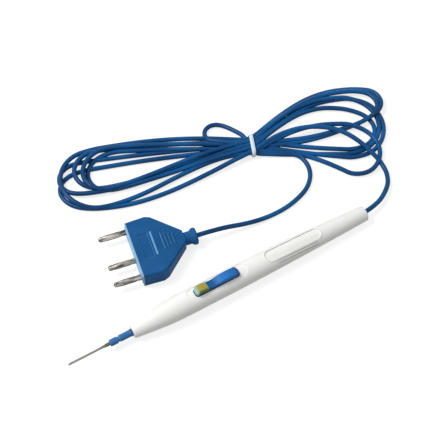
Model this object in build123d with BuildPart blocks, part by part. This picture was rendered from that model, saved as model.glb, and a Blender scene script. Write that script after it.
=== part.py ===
from build123d import *
import math
import os

os.makedirs("parts", exist_ok=True)

# Electrosurgical pencil, millimetres. +X runs from the blade tip to the cord end, +Z is up, and the
# handle lies on its belly at Z = 0. The origin is under the middle of the pencil's length.

# Handle
handle_length = 174.0
nose_diameter = 8.6
grip_width = 16.4
grip_height = 15.0
tail_diameter = 10.4
nose_axis_height = 5.8
nose_taper_length = 35.0
grip_length = 35.0
nose_swell_power_share = 1.6
tail_taper_power_share = 1.7
shell_wall = 1.5
tail_wall = 2.0
tail_edge_radius = 1.0
nose_edge_radius = 0.7
rib_thickness = 1.2
station_count = 14
cut_overrun = 5.0
seat_overlap = 0.5
hexagon_half_angle = 30
bore_clearance = 0.05
seat_clearance = 0.1

# Electrode
electrode_reach = 44.4
electrode_length = 70.0
shaft_diameter = 2.36
blade_width = 2.4
blade_thickness = 0.6
blade_length = 22.0
blade_taper_length = 4.0
blade_root_share = 0.66
shaft_end_chamfer = 0.3
hub_length = 15.8
hub_diameter = 4.6
hub_front_diameter = 4.0
hub_nose_length = 0.8
hub_groove_place = 5.2
hub_groove_width = 1.6
hub_groove_depth = 0.5
hub_rim_length = 1.6
hub_rim_height = 0.15
hub_key_width = 3.4
hub_key_length = 5.0

# Socket in the nose
key_socket_depth = 5.6
seal_thickness = 1.8
seal_diameter = 6.0
seal_chamfer = 0.3
tube_length = 22.0
tube_end_gap = 1.0
tube_diameter = 4.0
tube_flange_diameter = 5.4
tube_flange_length = 1.2
tube_slot_length = 12.0
tube_slot_width = 0.5
solder_cup_length = 3.0
solder_cup_diameter = 2.6
ring_length = 1.6
ring_thickness = 0.5
ring_gap = 1.2
ring_place = 12.5
tube_slot_place = 12.5
nose_web_length = 14.0
tube_rib_place = 27.0

# Rocker switch
rocker_setback = 60.8
rocker_length = 31.4
rocker_width = 5.6
rocker_end_radius = 1.8
rocker_edge_radius = 0.6
rocker_underside_drop = 1.9
rocker_side_gap = 0.35
rocker_end_gap = 0.5
pad_height = 3.0
trunnion_drop = 2.9
trunnion_diameter = 2.0
trunnion_hub_diameter = 3.8
trunnion_span = 8.4
plunger_setback = 6.2
plunger_diameter = 3.2
plunger_rest_gap = 0.15
rocker_swing = 3.5
insert_length = 7.4
insert_depth = 1.8
insert_setback = 1.6
grip_notch_width = 0.6
grip_notch_depth = 0.35
grip_notch_pitch = 1.7
grip_notch_count = 3
grip_notch_setback = 3.0
ear_thickness = 1.5
ear_length = 5.0
ear_drop = 1.6
ear_top_drop = 2.0
bezel_margin = 5.8
bezel_width = 10.0
bezel_depth = 0.45
bezel_offset = 0.6

# Switch stack under the rocker
board_drop = 6.0
board_margin = 6.3
board_width = 9.6
board_thickness = 1.0
dome_diameter = 6.0
dome_height = 0.7
dome_sheet = 0.2
membrane_thickness = 0.5
membrane_margin = 2.0
membrane_width = 8.8
membrane_corner_radius = 1.0
bump_diameter = 7.4
bump_height = 1.2
bump_hollow_diameter = 6.4
bump_hollow_height = 0.8
board_rib_setback = 4.0
board_clip_setback = 1.0
wire_notch_width = 5.0
wire_notch_height = 4.6

# Finger rest behind the switch
rest_setback = 117.4
rest_length = 41.5
rest_width = 8.0
rest_depth = 0.7
rest_rim_width = 0.8
rest_rim_height = 0.3

# Cord, its bush and its clamp
cord_diameter = 3.3
run_share = 0.45
stub_length = 12.0
wire_diameter = 0.9
wire_pitch = 1.08
wire_floor_height = 4.4
wire_bend_radius = 6.0
wire_drop_length = 9.0
wire_lead_length = 2.0
wire_slope_length = 8.0
wire_spread = 2.2
bush_lip = 0.8
bush_lip_diameter = 6.4
bush_neck_diameter = 4.8
bush_flange_diameter = 6.8
bush_flange_length = 1.2
clamp_length = 4.0
clamp_diameter = 5.8
clamp_setback = 8.0
jacket_tail = 1.5

# Three-pin plug
plug_turn = 169.7
plug_place = (3.1, 39.9)
plug_length = 42.6
plug_width = 43.4
plug_face_width = 42.4
plug_height = 14.0
plug_shoulder_place = 27.0
plug_neck_place = 8.6
plug_neck_width = 10.0
plug_neck_height = 10.6
shoulder_back = 1.6
shoulder_front = 2.0
shoulder_in = 1.4
plug_edge_radius = 1.8
collar_diameter = 11.6
collar_length = 4.4
collar_rim_chamfer = 0.7
waist_diameter = 8.8
pin_spacing_wide = 22.2
pin_spacing_narrow = 12.7
pin_row_offset = -0.35
pin_length = 18.6
pin_diameter = 4.0
pin_collar_length = 2.4
pin_core_diameter = 2.7
pin_head_diameter = 3.6
pin_head_length = 3.0
pin_root_length = 8.0
leaf_thickness = 0.3
leaf_end_diameter = 3.5
leaf_taper_length = 2.6
leaf_slot_width = 0.6
leaf_slot_count = 4
leaf_slot_margin = 1.4
carrier_width = 40.2
carrier_height = 10.0
carrier_depth = 10.0
carrier_lip = 0.5
carrier_corner_radius = 2.0
panel_length = 6.5
panel_width = 19.0
panel_place = 34.2
panel_depth = 0.5
panel_corner_radius = 0.6
bar_place = 28.9
bar_length = 18.0
bar_width = 1.2
bar_height = 0.6
rib_row_place = 15.6
rib_row_pitch = 2.4
rib_row_count = 4
rib_row_start_length = 8.0
rib_row_growth = 1.6
rib_row_width = 1.0
rib_row_height = 0.6

# Hank of cord and its tie
hank_turn = -29.9
hank_place = (71.9, 84.3)
hank_height = 8.0
hank_waist_width = 16.0
tie_width = 2.6
tie_thickness = 0.8
tie_gap = 0.1
tie_corner_radius = 3.0

# Places worked out from the sizes above
overall_length = electrode_reach + handle_length + bush_lip
tip_x = -overall_length / 2
nose_x = tip_x + electrode_reach
tail_x = nose_x + handle_length
grip_front_x = nose_x + nose_taper_length
grip_rear_x = grip_front_x + grip_length
tail_axis_height = tail_diameter / 2
shaft_end_x = tip_x + electrode_length
hub_front_x = nose_x - hub_length
rocker_x = nose_x + rocker_setback
plunger_reach = rocker_length / 2 - plunger_setback
bezel_length = rocker_length + 2 * bezel_margin
board_length = rocker_length + 2 * board_margin
membrane_length = board_length - 2 * membrane_margin
board_rib_reach = board_length / 2 - board_rib_setback
board_clip_reach = board_length / 2 - board_clip_setback
trunnion_height = grip_height - trunnion_drop
board_top = grip_height - board_drop
board_underside = board_top - board_thickness
seal_x = nose_x + key_socket_depth
tube_x = seal_x + seal_thickness
tube_end_x = tube_x + tube_length
cord_end_x = tail_x - clamp_setback - clamp_length / 2 - jacket_tail


def nose_share(x):
    """How far the section has grown from the nose to the grip, from 0 to 1."""
    return 1 - (1 - (x - nose_x) / nose_taper_length) ** nose_swell_power_share


def tail_share(x):
    """How far the section has shrunk from the grip to the tail, from 0 to 1."""
    return ((x - grip_rear_x) / (tail_x - grip_rear_x)) ** tail_taper_power_share


def section_size(x):
    """Width, bottom and top of the handle's outer section at a place along it."""
    if x < grip_front_x:
        s = nose_share(x)
        nose_bottom = nose_axis_height - nose_diameter / 2
        nose_top = nose_axis_height + nose_diameter / 2
        return (
            nose_diameter + (grip_width - nose_diameter) * s,
            nose_bottom * (1 - s),
            nose_top + (grip_height - nose_top) * s,
        )
    s = tail_share(x) if x > grip_rear_x else 0
    return (
        grip_width + (tail_diameter - grip_width) * s,
        0,
        grip_height + (tail_diameter - grip_height) * s,
    )


def handle_form(front_x, rear_x, inset):
    """The handle's outer form between two places, or its cavity when it is inset by the wall."""
    with BuildPart() as form:
        for i in range(station_count + 1):
            x = front_x + (rear_x - front_x) * i / station_count
            width, bottom, top = section_size(x)
            width -= 2 * inset
            height = top - bottom - 2 * inset
            # The oval's seam is turned to the belly, away from the plane that parts the shells.
            station = Plane(origin=(x, 0, (top + bottom) / 2), x_dir=(0, 0, -1), z_dir=(1, 0, 0))
            with BuildSketch(station):
                Ellipse(height / 2, width / 2)
        loft()
    return form.part


def cross_plane(x, y=0.0, z=0.0):
    """A plane across the handle, looking along +X, with its own X along +Y."""
    return Plane(origin=(x, y, z), x_dir=(0, 1, 0), z_dir=(1, 0, 0))


def surface_pocket(length, width, centre_x, depth, body):
    """What a recess of even depth takes out of the handle's rounded top."""
    with BuildPart() as pocket:
        with BuildSketch(Plane.XY.offset(nose_axis_height)):
            with Locations((centre_x, 0)):
                SlotOverall(length, width)
        extrude(amount=grip_height)
        add(body.moved(Location((0, 0, -depth))), mode=Mode.SUBTRACT)
    return pocket.part


# The two shells start as one form, which a slightly sloping plane parts into top and bottom.
outer_form = handle_form(nose_x, tail_x, 0)
cavity_form = handle_form(nose_x + nose_web_length, tail_x - tail_wall, shell_wall)
seam_slope = math.degrees(math.atan2(nose_axis_height - tail_axis_height, handle_length))
seam_plane = Plane(origin=(nose_x, 0, nose_axis_height)).rotated((0, seam_slope, 0))
rest_x = nose_x + rest_setback
key_radius = (hub_key_width / 2 + seat_clearance) / math.cos(math.radians(hexagon_half_angle))

with BuildPart() as rounded_ends:
    add(outer_form)
    fillet(rounded_ends.faces().sort_by(Axis.X)[-1].edges(), tail_edge_radius)
    fillet(rounded_ends.faces().sort_by(Axis.X)[0].edges(), nose_edge_radius)
outer_form = rounded_ends.part


def rib_slab(x, bottom, top, form):
    """A wall across the handle, cut to its outer form or to its cavity."""
    with BuildPart() as slab:
        with BuildSketch(cross_plane(x - rib_thickness / 2, 0, (bottom + top) / 2)):
            Rectangle(grip_width, top - bottom)
        extrude(amount=rib_thickness)
        add(form, mode=Mode.INTERSECT)
    return slab.part


def nose_bores():
    """Hexagonal key socket, seal groove, tube bore and flange groove, all on the nose axis."""
    with BuildPart() as bores:
        with BuildSketch(cross_plane(nose_x - cut_overrun, 0, nose_axis_height)):
            RegularPolygon(key_radius, 6)
        extrude(amount=cut_overrun + key_socket_depth)
        with BuildSketch(cross_plane(seal_x, 0, nose_axis_height)):
            Circle(seal_diameter / 2)
        extrude(amount=seal_thickness)
        with BuildSketch(cross_plane(tube_x, 0, nose_axis_height)):
            Circle(tube_flange_diameter / 2 + bore_clearance)
        extrude(amount=tube_flange_length + bore_clearance)
        with BuildSketch(cross_plane(tube_x, 0, nose_axis_height)):
            Circle(tube_diameter / 2 + bore_clearance)
        extrude(amount=tube_length)
    return bores.part


clamp_x = tail_x - clamp_setback
clamp_rib_gap = clamp_length / 2 + seat_clearance + rib_thickness / 2
clamp_rib_places = (clamp_x - clamp_rib_gap, clamp_x + clamp_rib_gap)
board_rib_places = (rocker_x - board_rib_reach, rocker_x, rocker_x + board_rib_reach)
tube_rib_x = nose_x + tube_rib_place


def tail_bores():
    """The cord's way through the clamp ribs and the bush's seat in the end wall."""
    rib_front = clamp_rib_places[0] - rib_thickness
    with BuildPart() as bores:
        with BuildSketch(cross_plane(rib_front, 0, tail_axis_height)):
            Circle(cord_diameter / 2 + seat_clearance)
        extrude(amount=tail_x - rib_front)
        with BuildSketch(cross_plane(tail_x - tail_wall - seat_overlap, 0, tail_axis_height)):
            Circle(bush_neck_diameter / 2 + bore_clearance)
        extrude(amount=tail_wall + cut_overrun)
    return bores.part


def shell_body():
    """Both shells as one hollow form with the ribs that run from belly to roof."""
    with BuildPart() as body:
        add(outer_form)
        add(cavity_form, mode=Mode.SUBTRACT)
        for x in (tube_rib_x, *clamp_rib_places):
            add(rib_slab(x, 0, grip_height, outer_form))
        add(nose_bores(), mode=Mode.SUBTRACT)
        add(tail_bores(), mode=Mode.SUBTRACT)
    return body.part


def rest_rim():
    """The raised line round the finger rest, of even height over the rounded top."""
    with BuildPart() as rim:
        with BuildSketch(Plane.XY.offset(nose_axis_height)):
            with Locations((rest_x, 0)):
                SlotOverall(rest_length + 2 * rest_rim_width, rest_width + 2 * rest_rim_width)
                SlotOverall(rest_length, rest_width, mode=Mode.SUBTRACT)
        extrude(amount=grip_height)
        add(outer_form.moved(Location((0, 0, rest_rim_height))), mode=Mode.INTERSECT)
        add(cavity_form, mode=Mode.SUBTRACT)
    return rim.part


hollow_handle = shell_body()

with BuildPart() as lower_shell:
    add(hollow_handle)
    split(bisect_by=seam_plane, keep=Keep.BOTTOM)
    # Three ribs carry the circuit strip, each notched for the wires that pass under it.
    for x in board_rib_places:
        add(rib_slab(x, 0, board_underside, cavity_form))
        with BuildSketch(cross_plane(x - rib_thickness, 0, shell_wall + wire_notch_height / 2)):
            Rectangle(wire_notch_width, wire_notch_height)
        extrude(amount=2 * rib_thickness, mode=Mode.SUBTRACT)
lower_shell.part.label = "lower_shell"
export_step(lower_shell.part, "parts/lower_shell.step")

slot_length = rocker_length + 2 * rocker_end_gap
slot_width = rocker_width + 2 * rocker_side_gap
ear_place = rocker_width / 2 + seat_clearance + ear_thickness / 2
ear_bottom = trunnion_height - ear_drop

with BuildPart() as upper_shell:
    add(hollow_handle)
    split(bisect_by=seam_plane, keep=Keep.TOP)
    # Bezel dish, rocker slot and finger rest follow the rounded top.
    bezel_x = rocker_x + bezel_offset
    add(surface_pocket(bezel_length, bezel_width, bezel_x, bezel_depth, outer_form), mode=Mode.SUBTRACT)
    with BuildSketch(Plane.XY.offset(board_top)):
        with Locations((rocker_x, 0)):
            RectangleRounded(slot_length, slot_width, rocker_end_radius + rocker_side_gap)
    extrude(amount=grip_height, mode=Mode.SUBTRACT)
    add(surface_pocket(rest_length, rest_width, rest_x, rest_depth, outer_form), mode=Mode.SUBTRACT)
    # Two ears hang inside the roof and take the rocker's trunnions.
    with BuildSketch(Plane.XY.offset(ear_bottom)):
        with Locations((rocker_x, ear_place), (rocker_x, -ear_place)):
            Rectangle(ear_length, ear_thickness)
    extrude(amount=grip_height - ear_top_drop - ear_bottom)
    with BuildSketch(Plane.XZ):
        with Locations((rocker_x, trunnion_height)):
            Circle(trunnion_diameter / 2 + bore_clearance)
    extrude(amount=trunnion_span / 2 + seat_clearance, both=True, mode=Mode.SUBTRACT)
    # Two ribs press the strip down on the lower shell's ribs.
    for x in (rocker_x - board_clip_reach, rocker_x + board_clip_reach):
        add(rib_slab(x, board_top, grip_height, cavity_form))
    # A low rim stands round the finger rest.
    add(rest_rim())
upper_shell.part.label = "upper_shell"
export_step(upper_shell.part, "parts/upper_shell.step")

nose_plane = Plane(origin=(0, 0, nose_axis_height), x_dir=(1, 0, 0), z_dir=(0, -1, 0))
nose_axis = Axis((0, 0, nose_axis_height), (1, 0, 0))
tail_plane = Plane(origin=(0, 0, tail_axis_height), x_dir=(1, 0, 0), z_dir=(0, -1, 0))
tail_axis = Axis((0, 0, tail_axis_height), (1, 0, 0))

# Blade electrode: a round rod whose front is pressed into a blade with a rounded tip.
shank_x = tip_x + blade_length
shank_full_x = shank_x + blade_taper_length
with BuildPart() as electrode_blade:
    with BuildSketch(nose_plane):
        with Locations((tip_x + blade_length / 2, 0)):
            SlotOverall(blade_length, blade_width)
        with Locations((shank_x - blade_length / 4, 0)):
            Rectangle(blade_length / 2, blade_width)
    extrude(amount=blade_thickness / 2, both=True)
    with BuildSketch(cross_plane(shank_x, 0, nose_axis_height)):
        Rectangle(blade_thickness, blade_width)
    with BuildSketch(cross_plane(shank_full_x, 0, nose_axis_height)):
        Rectangle(shaft_diameter * blade_root_share, shaft_diameter * blade_root_share)
    loft()
    with BuildSketch(cross_plane(shank_full_x, 0, nose_axis_height)):
        Circle(shaft_diameter / 2)
    extrude(amount=shaft_end_x - shank_full_x)
    chamfer(electrode_blade.faces().sort_by(Axis.X)[-1].edges(), shaft_end_chamfer)
electrode_blade.part.label = "electrode_blade"
export_step(electrode_blade.part, "parts/electrode_blade.step")

# Insulating hub moulded round the rod: tapered front, groove, rear rim and a six-sided key.
groove_front_x = hub_front_x + hub_groove_place
groove_rear_x = groove_front_x + hub_groove_width
hub_radius = hub_diameter / 2
with BuildPart() as electrode_hub:
    with BuildSketch(nose_plane):
        with BuildLine():
            Polyline(
                (hub_front_x, shaft_diameter / 2),
                (hub_front_x, hub_front_diameter / 2),
                (hub_front_x + hub_nose_length, hub_radius),
                (groove_front_x, hub_radius),
                (groove_front_x, hub_radius - hub_groove_depth),
                (groove_rear_x, hub_radius - hub_groove_depth),
                (groove_rear_x, hub_radius),
                (nose_x - hub_rim_length, hub_radius),
                (nose_x - hub_rim_length, hub_radius + hub_rim_height),
                (nose_x, hub_radius + hub_rim_height),
                (nose_x, shaft_diameter / 2),
                close=True,
            )
        make_face()
    revolve(axis=nose_axis)
    with BuildSketch(cross_plane(nose_x, 0, nose_axis_height)):
        RegularPolygon(hub_key_width / 2 / math.cos(math.radians(hexagon_half_angle)), 6)
        Circle(shaft_diameter / 2, mode=Mode.SUBTRACT)
    extrude(amount=hub_key_length)
electrode_hub.part.label = "electrode_hub"
export_step(electrode_hub.part, "parts/electrode_hub.step")

# Soft ring that keeps fluid out of the socket, with a clearance round the rod.
with BuildPart() as nose_seal:
    with BuildSketch(cross_plane(seal_x, 0, nose_axis_height)):
        Circle(seal_diameter / 2)
        Circle(shaft_diameter / 2 + bore_clearance, mode=Mode.SUBTRACT)
    extrude(amount=seal_thickness)
    chamfer(nose_seal.edges().filter_by(GeomType.CIRCLE).sort_by(Edge.length)[-2:], seal_chamfer)
nose_seal.part.label = "nose_seal"
export_step(nose_seal.part, "parts/nose_seal.step")

# Contact tube: flanged, split by four slots so that it grips the rod, with a solder cup behind.
with BuildPart() as contact_tube:
    with BuildSketch(nose_plane):
        with BuildLine():
            Polyline(
                (tube_x, shaft_diameter / 2 + bore_clearance),
                (tube_x, tube_flange_diameter / 2),
                (tube_x + tube_flange_length, tube_flange_diameter / 2),
                (tube_x + tube_flange_length, tube_diameter / 2),
                (tube_end_x, tube_diameter / 2),
                (tube_end_x, solder_cup_diameter / 2),
                (tube_end_x + solder_cup_length, solder_cup_diameter / 2),
                (tube_end_x + solder_cup_length, wire_diameter / 2),
                (tube_end_x, wire_diameter / 2),
                (tube_end_x, 0),
                (shaft_end_x + tube_end_gap, 0),
                (shaft_end_x + tube_end_gap, shaft_diameter / 2 + bore_clearance),
                close=True,
            )
        make_face()
    revolve(axis=nose_axis)
    for plane in (nose_plane, Plane.XY.offset(nose_axis_height)):
        with BuildSketch(plane):
            with Locations((tube_x + tube_slot_place, 0)):
                SlotOverall(tube_slot_length, tube_slot_width)
        extrude(amount=tube_diameter, both=True, mode=Mode.SUBTRACT)
contact_tube.part.label = "contact_tube"
export_step(contact_tube.part, "parts/contact_tube.step")

# Open spring ring that squeezes the slotted tube.
with BuildPart() as contact_spring:
    with BuildSketch(cross_plane(tube_x + ring_place - ring_length / 2, 0, nose_axis_height)):
        Circle(tube_diameter / 2 + ring_thickness)
        Circle(tube_diameter / 2, mode=Mode.SUBTRACT)
        with Locations((0, tube_diameter / 2)):
            Rectangle(ring_gap, tube_diameter / 2, mode=Mode.SUBTRACT)
    extrude(amount=ring_length)
contact_spring.part.label = "contact_spring"
export_step(contact_spring.part, "parts/contact_spring.step")

# Rocker: a saddle with a high pad at each end, trunnions under its dip and a plunger under each pad.
rocker_underside = grip_height - rocker_underside_drop
pad_outline_shares = [
    (-1.0, 0.4),
    (-0.94, 0.82),
    (-0.8, 0.96),
    (-0.55, 0.82),
    (-0.3, 0.46),
    (-0.1, 0.5),
    (0.1, 0.84),
    (0.35, 1.1),
    (0.6, 1.12),
    (0.86, 0.84),
    (1.0, 0.3),
]
pad_outline = [
    (rocker_x + along * rocker_length / 2, grip_height + up * pad_height)
    for along, up in pad_outline_shares
]
bump_top = board_top + bump_height
plunger_travel = plunger_reach * math.sin(math.radians(rocker_swing))
plunger_bottom = bump_top + plunger_travel + plunger_rest_gap

with BuildPart() as rocker_blank:
    with BuildSketch(Plane.XZ):
        with BuildLine():
            Spline(*pad_outline)
            Polyline(
                pad_outline[-1],
                (pad_outline[-1][0], rocker_underside),
                (pad_outline[0][0], rocker_underside),
                pad_outline[0],
            )
        make_face()
    extrude(amount=rocker_width / 2, both=True)
    top_edges = rocker_blank.faces().sort_by(Axis.Z)[-1].edges()
    fillet(top_edges.sort_by(Edge.length)[-2:], rocker_edge_radius)
    with BuildSketch(Plane.XY.offset(rocker_underside)):
        with Locations((rocker_x, 0)):
            RectangleRounded(rocker_length, rocker_width, rocker_end_radius)
    extrude(amount=2 * pad_height + rocker_underside_drop, mode=Mode.INTERSECT)

# The front pad's insert is a top layer of even depth across the rocker's whole width.
insert_x = rocker_x - rocker_length / 2 + insert_setback + insert_length / 2
with BuildPart() as cut_insert:
    add(rocker_blank.part)
    with BuildSketch(Plane.XY.offset(rocker_underside)):
        with Locations((insert_x, 0)):
            Rectangle(insert_length, rocker_width + 2 * rocker_side_gap)
    extrude(amount=2 * pad_height + rocker_underside_drop, mode=Mode.INTERSECT)
    add(rocker_blank.part.moved(Location((0, 0, -insert_depth))), mode=Mode.SUBTRACT)
cut_insert.part.label = "cut_insert"
export_step(cut_insert.part, "parts/cut_insert.step")

# Three grip grooves cross the rear pad near its end.
groove_start_x = rocker_x + rocker_length / 2 - grip_notch_setback
with BuildPart() as grip_grooves:
    with BuildSketch(Plane.XY.offset(rocker_underside)):
        for i in range(grip_notch_count):
            with Locations((groove_start_x - i * grip_notch_pitch, 0)):
                Rectangle(grip_notch_width, rocker_width)
    extrude(amount=2 * pad_height + rocker_underside_drop)
    add(rocker_blank.part.moved(Location((0, 0, -grip_notch_depth))), mode=Mode.SUBTRACT)

with BuildPart() as rocker_switch:
    add(rocker_blank.part)
    add(cut_insert.part, mode=Mode.SUBTRACT)
    add(grip_grooves.part, mode=Mode.SUBTRACT)
    with BuildSketch(Plane.XZ):
        with Locations((rocker_x, trunnion_height)):
            Circle(trunnion_hub_diameter / 2)
    extrude(amount=rocker_width / 2, both=True)
    with BuildSketch(Plane.XZ):
        with Locations((rocker_x, trunnion_height)):
            Circle(trunnion_diameter / 2)
    extrude(amount=trunnion_span / 2, both=True)
    with BuildSketch(Plane.XY.offset(plunger_bottom)):
        with Locations((rocker_x - plunger_reach, 0), (rocker_x + plunger_reach, 0)):
            Circle(plunger_diameter / 2)
    extrude(amount=rocker_underside - plunger_bottom)
rocker_switch.part.label = "rocker_switch"
export_step(rocker_switch.part, "parts/rocker_switch.step")

# Circuit strip, two snap domes and the soft cover with a bump over each dome.
with BuildPart() as circuit_strip:
    with BuildSketch(Plane.XY.offset(board_underside)):
        with Locations((rocker_x, 0)):
            Rectangle(board_length, board_width)
    extrude(amount=board_thickness)
circuit_strip.part.label = "circuit_strip"
export_step(circuit_strip.part, "parts/circuit_strip.step")

for name, side in (("cut_dome", -1), ("coag_dome", 1)):
    dome_x = rocker_x + side * plunger_reach
    with BuildPart() as snap_dome:
        with BuildSketch(Plane.XZ):
            with BuildLine():
                edge_out = (dome_x + dome_diameter / 2, board_top)
                edge_in = (dome_x + dome_diameter / 2 - dome_sheet, board_top)
                crown_out = (dome_x, board_top + dome_height)
                crown_in = (dome_x, board_top + dome_height - dome_sheet)
                TangentArc(crown_out, edge_out, tangent=(1, 0))
                Line(edge_out, edge_in)
                TangentArc(crown_in, edge_in, tangent=(1, 0))
                Line(crown_in, crown_out)
            make_face()
        revolve(axis=Axis((dome_x, 0, 0), (0, 0, 1)))
    snap_dome.part.label = name
    export_step(snap_dome.part, f"parts/{name}.step")

with BuildPart() as dome_cover:
    with BuildSketch(Plane.XY.offset(board_top)):
        with Locations((rocker_x, 0)):
            RectangleRounded(membrane_length, membrane_width, membrane_corner_radius)
    extrude(amount=membrane_thickness)
    with BuildSketch(Plane.XY.offset(board_top)):
        with Locations((rocker_x - plunger_reach, 0), (rocker_x + plunger_reach, 0)):
            Circle(bump_diameter / 2)
    extrude(amount=bump_height)
    with BuildSketch(Plane.XY.offset(board_top)):
        with Locations((rocker_x - plunger_reach, 0), (rocker_x + plunger_reach, 0)):
            Circle(bump_hollow_diameter / 2)
    extrude(amount=bump_hollow_height, mode=Mode.SUBTRACT)
dome_cover.part.label = "dome_cover"
export_step(dome_cover.part, "parts/dome_cover.step")

# Wires from the end of the cord's jacket to the contact tube and to the strip.
wire_start_x = cord_end_x
wire_drop_x = cord_end_x - wire_drop_length
cup_end_x = tube_end_x + solder_cup_length
board_rear_x = rocker_x + board_length / 2
board_mid = board_top - board_thickness / 2
wire_routes = {
    "active_wire": [
        (tube_end_x, 0, nose_axis_height),
        (cup_end_x + wire_lead_length, 0, nose_axis_height),
        (cup_end_x + wire_lead_length + wire_slope_length, 0, wire_floor_height),
        (wire_drop_x, 0, wire_floor_height),
        (wire_start_x, 0, tail_axis_height),
    ],
}
for name, side in (("cut_wire", -1), ("coag_wire", 1)):
    wire_routes[name] = [
        (board_rear_x, side * wire_spread, board_mid),
        (board_rear_x + wire_lead_length, side * wire_spread, board_mid),
        (board_rear_x + wire_lead_length + wire_slope_length, side * wire_pitch, wire_floor_height),
        (wire_drop_x, side * wire_pitch, wire_floor_height),
        (wire_start_x, side * wire_pitch, tail_axis_height),
    ]
for name, route in wire_routes.items():
    with BuildPart() as wire:
        with BuildLine():
            FilletPolyline(*route, radius=wire_bend_radius)
        start = Vector(*route[0])
        with BuildSketch(Plane(origin=start, x_dir=(0, 1, 0), z_dir=(1, 0, 0))):
            Circle(wire_diameter / 2)
        sweep()
    wire.part.label = name
    export_step(wire.part, f"parts/{name}.step")

# Crimped clamp round the cord, held between two ribs, and the bush in the tail wall.
with BuildPart() as cord_clamp:
    with BuildSketch(cross_plane(clamp_x - clamp_length / 2, 0, tail_axis_height)):
        RegularPolygon(clamp_diameter / 2, 6)
        Circle(cord_diameter / 2 + bore_clearance, mode=Mode.SUBTRACT)
    extrude(amount=clamp_length)
cord_clamp.part.label = "cord_clamp"
export_step(cord_clamp.part, "parts/cord_clamp.step")

wall_x = tail_x - tail_wall
with BuildPart() as cord_bush:
    with BuildSketch(tail_plane):
        with BuildLine():
            Polyline(
                (wall_x - bush_flange_length, cord_diameter / 2 + bore_clearance),
                (wall_x - bush_flange_length, bush_flange_diameter / 2),
                (wall_x, bush_flange_diameter / 2),
                (wall_x, bush_neck_diameter / 2),
                (tail_x, bush_neck_diameter / 2),
                (tail_x, bush_lip_diameter / 2),
                (tail_x + bush_lip / 2, bush_lip_diameter / 2),
                (tail_x + bush_lip, bush_lip_diameter / 2 - bush_lip / 2),
                (tail_x + bush_lip, cord_diameter / 2 + bore_clearance),
                close=True,
            )
        make_face()
    revolve(axis=tail_axis)
cord_bush.part.label = "cord_bush"
export_step(cord_bush.part, "parts/cord_bush.step")

# Plug. Its own frame has its origin on the floor under the cord's exit and its X along the pins.
plug_angle = math.radians(plug_turn)
plug_plane = Plane(
    origin=(plug_place[0], plug_place[1], 0),
    x_dir=(math.cos(plug_angle), math.sin(plug_angle), 0),
    z_dir=(0, 0, 1),
)
plug_axis_height = plug_height / 2
plug_side_plane = Plane(
    origin=plug_plane.from_local_coords((0, 0, plug_axis_height)),
    x_dir=plug_plane.x_dir,
    z_dir=-plug_plane.y_dir,
)
plug_axis = Axis(plug_side_plane.origin, plug_plane.x_dir)


def plug_cross(along, across=0.0):
    """A plane across the plug at its mid height, looking along the pins."""
    return Plane(
        origin=plug_plane.from_local_coords((along, across, plug_axis_height)),
        x_dir=plug_plane.y_dir,
        z_dir=plug_plane.x_dir,
    )


face_place = plug_length
with BuildPart() as plug_blank:
    with BuildSketch(plug_plane):
        with BuildLine():
            Polyline(
                (plug_neck_place, -plug_neck_width / 2),
                (plug_shoulder_place - shoulder_back, -plug_width / 2 + shoulder_in),
                (plug_shoulder_place + shoulder_front, -plug_width / 2),
                (face_place, -plug_face_width / 2),
                (face_place, plug_face_width / 2),
                (plug_shoulder_place + shoulder_front, plug_width / 2),
                (plug_shoulder_place - shoulder_back, plug_width / 2 - shoulder_in),
                (plug_neck_place, plug_neck_width / 2),
                close=True,
            )
        make_face()
    extrude(amount=plug_height)
    with BuildSketch(plug_side_plane):
        with BuildLine():
            Polyline(
                (plug_neck_place, -plug_neck_height / 2),
                (plug_shoulder_place, -plug_height / 2),
                (face_place, -plug_height / 2),
                (face_place, plug_height / 2),
                (plug_shoulder_place, plug_height / 2),
                (plug_neck_place, plug_neck_height / 2),
                close=True,
            )
        make_face()
    extrude(amount=plug_width, both=True, mode=Mode.INTERSECT)
    rims = plug_blank.edges().filter_by(
        lambda e: abs(e.center().Z - plug_axis_height) > plug_neck_height / 2 - plug_edge_radius
        and plug_plane.to_local_coords(e.center()).X < face_place - plug_edge_radius
        and plug_plane.to_local_coords(e.center()).X > plug_neck_place + plug_edge_radius
        and abs(plug_plane.to_local_coords(e.center()).Y) > plug_edge_radius
    )
    fillet(rims, plug_edge_radius)
    # Waist and collar behind the neck.
    with BuildSketch(plug_side_plane):
        with BuildLine():
            Polyline(
                (0, 0),
                (0, collar_diameter / 2 - collar_rim_chamfer),
                (collar_rim_chamfer, collar_diameter / 2),
                (collar_length / 2, collar_diameter / 2),
                (collar_length, waist_diameter / 2),
                (plug_neck_place + plug_edge_radius, waist_diameter / 2),
                (plug_neck_place + plug_edge_radius, 0),
                close=True,
            )
        make_face()
    revolve(axis=plug_axis)
    # Pocket for the pin carrier.
    with BuildSketch(plug_cross(face_place - carrier_depth)):
        RectangleRounded(carrier_width, carrier_height, carrier_corner_radius)
    extrude(amount=carrier_depth, mode=Mode.SUBTRACT)
    # Sunk panel and cross bar on the top face.
    with BuildSketch(plug_plane.offset(plug_height - panel_depth)):
        with Locations((panel_place, 0)):
            RectangleRounded(panel_length, panel_width, panel_corner_radius)
    extrude(amount=panel_depth, mode=Mode.SUBTRACT)
    with BuildSketch(plug_plane.offset(plug_height - bar_height)):
        with Locations((bar_place, 0)):
            SlotOverall(bar_length, bar_width, rotation=90)
    extrude(amount=2 * bar_height)

# Grip ribs that grow longer toward the shoulders, of even height over the sloping top.
with BuildPart() as grip_ribs:
    with BuildSketch(plug_plane.offset(plug_axis_height)):
        for i in range(rib_row_count):
            with Locations((rib_row_place + i * rib_row_pitch, 0)):
                SlotOverall(rib_row_start_length + i * rib_row_growth, rib_row_width, rotation=90)
    extrude(amount=plug_height)
    add(plug_blank.part.moved(Location((0, 0, rib_row_height))), mode=Mode.INTERSECT)

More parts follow.
